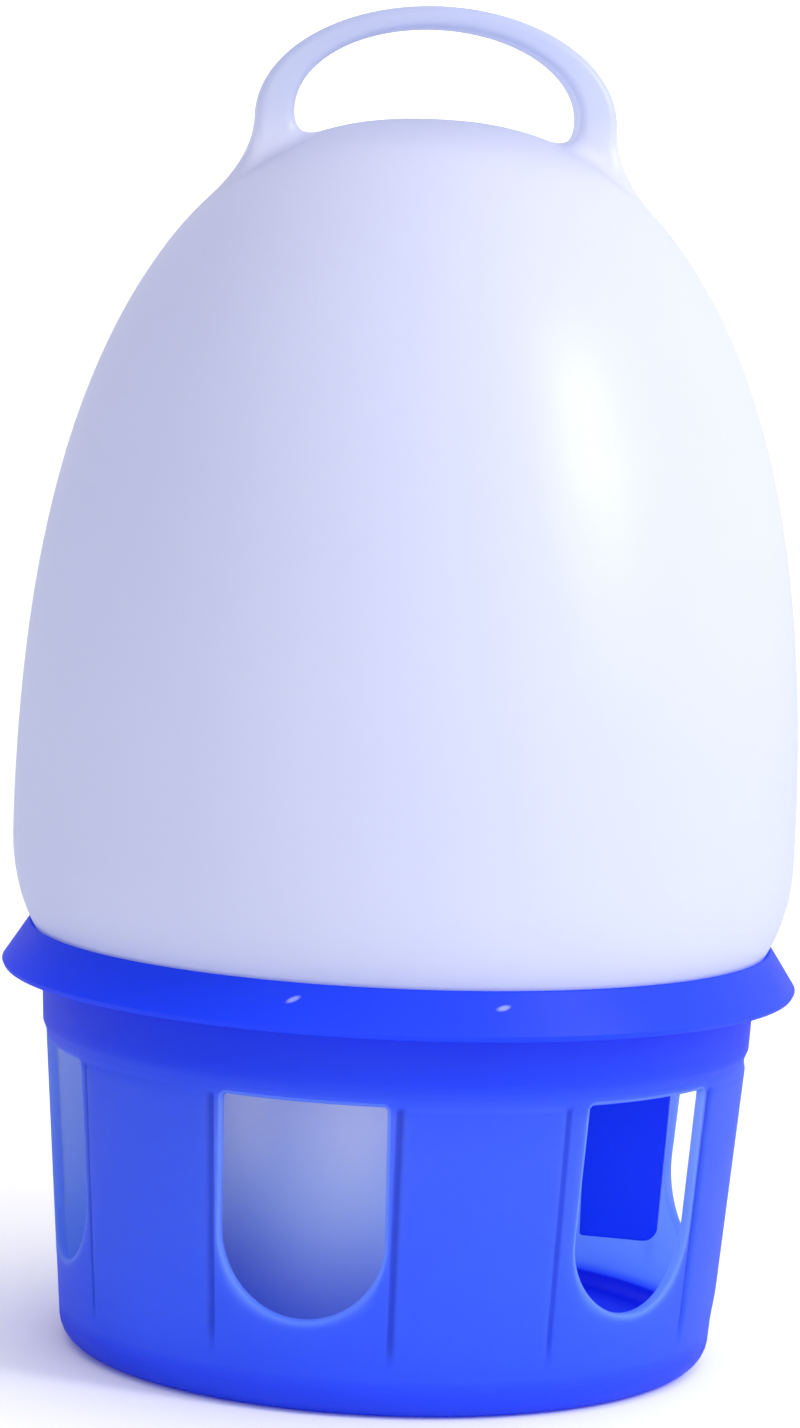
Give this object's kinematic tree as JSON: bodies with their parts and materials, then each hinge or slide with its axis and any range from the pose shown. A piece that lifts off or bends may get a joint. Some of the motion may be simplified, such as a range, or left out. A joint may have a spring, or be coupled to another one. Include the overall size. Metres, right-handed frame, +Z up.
{
  "type": "poultry waterer fount",
  "caption": "Gravity drinker for pigeons and poultry: a domed reservoir with a carry handle stands neck down in a round trough base with drinking windows and a sloping drip skirt.",
  "frame": {"origin": "centre of the base cup's underside, where the drinker stands", "axes": "+Z up along the drinker's axis, one drinking window centred on -Y, the neck guide's fins along +X and -X"},
  "size_m": [0.2, 0.2, 0.3362],
  "materials": {
    "white_reservoir": "satin blow-moulded polyethylene, slightly translucent white with a lavender cast",
    "blue_base": "semi-gloss injection-moulded polypropylene, saturated ultramarine blue"
  },
  "bodies": {
    "base": {"base_cup": "blue_base"},
    "guide": {"neck_guide": "blue_base"},
    "reservoir": {"reservoir": "white_reservoir", "carry_handle": "white_reservoir"}
  },
  "joints": [
    {"name": "reservoir_turn", "type": "hinge", "parent": "base", "child": "guide", "pos_m": [0, 0, 0.09], "axis": [0, 0, 1], "continuous": true},
    {"name": "reservoir_lift", "type": "slide", "parent": "guide", "child": "reservoir", "axis": [0, 0, 1], "range_m": [0, 0.12]}
  ]
}
